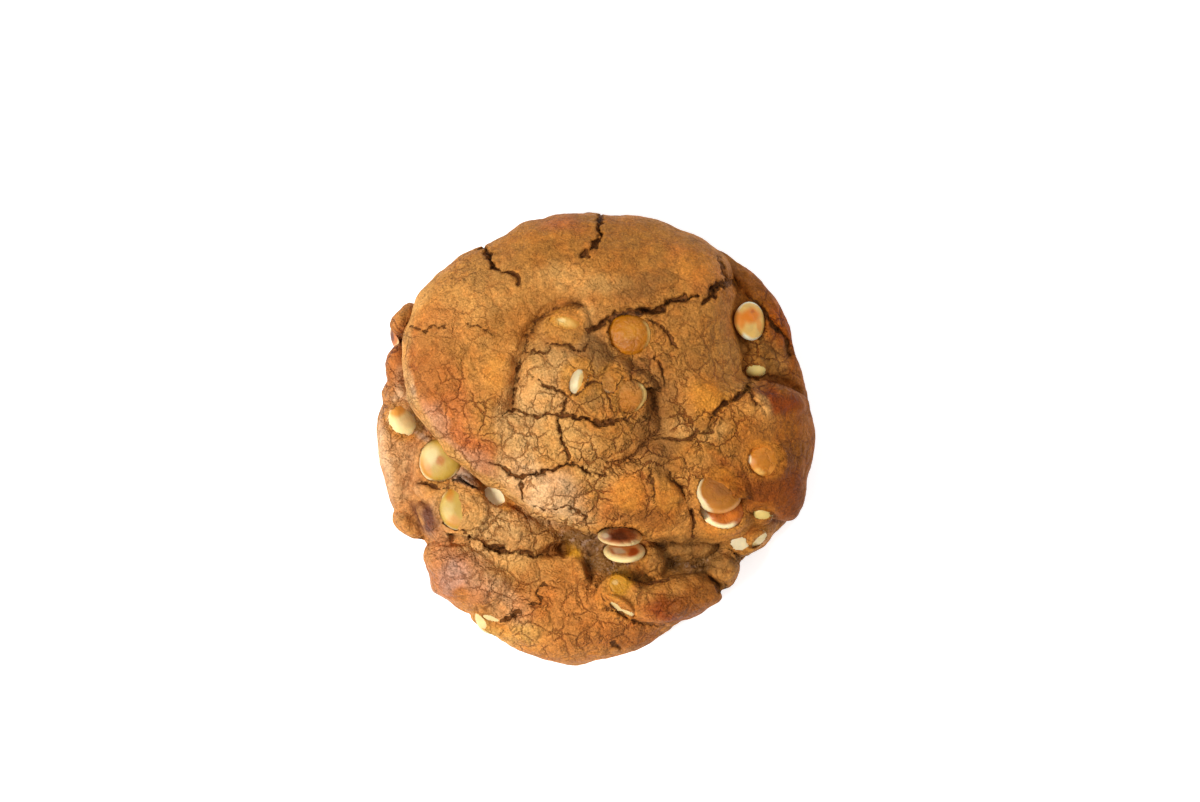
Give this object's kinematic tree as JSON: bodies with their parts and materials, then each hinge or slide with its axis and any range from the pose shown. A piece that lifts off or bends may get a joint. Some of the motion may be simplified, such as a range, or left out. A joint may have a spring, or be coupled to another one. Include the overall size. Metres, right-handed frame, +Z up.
{
  "type": "white chocolate cookie",
  "caption": "Thick round baked cookie with a cracked, domed crust, folded lobes of dough and flat white chocolate chips that poke through.",
  "frame": {"origin": "middle of the flat base, at the height that the cookie rests on", "axes": "+Z up through the thickness; +X to the right and +Y away from the viewer, as seen from above"},
  "size_m": [0.1049, 0.1087, 0.0322],
  "materials": {
    "baked_dough": "golden brown baked crust, matte, browned red on the high places",
    "white_chocolate": "cream white chocolate, softly glossy",
    "toasted_chocolate": "white chocolate toasted to caramel, softly glossy"
  },
  "bodies": {
    "root": {"dough": "baked_dough", "chip_mound_top": "white_chocolate", "chip_caramel": "toasted_chocolate", "chip_mound_edge_on": "white_chocolate", "chip_mound_small": "white_chocolate", "chip_mound_disc": "toasted_chocolate", "chip_east_toasted": "white_chocolate", "chip_east_sunk": "white_chocolate", "chip_east_melted": "toasted_chocolate", "chip_pair_upper": "toasted_chocolate", "chip_pair_lower": "white_chocolate", "chip_lip_burnt": "toasted_chocolate", "chip_lip_below": "white_chocolate", "chip_white_disc": "white_chocolate", "chip_west_tucked": "white_chocolate", "chip_under_lip": "white_chocolate", "chip_shelf_disc": "white_chocolate", "chip_south_east_sliver": "white_chocolate", "chip_south_east_white": "white_chocolate", "chip_south_east_rim": "white_chocolate", "chip_flap_yellow": "white_chocolate", "chip_flap_edge": "white_chocolate", "chip_west_rim": "white_chocolate", "chip_south_west_rim": "white_chocolate"}
  },
  "joints": []
}
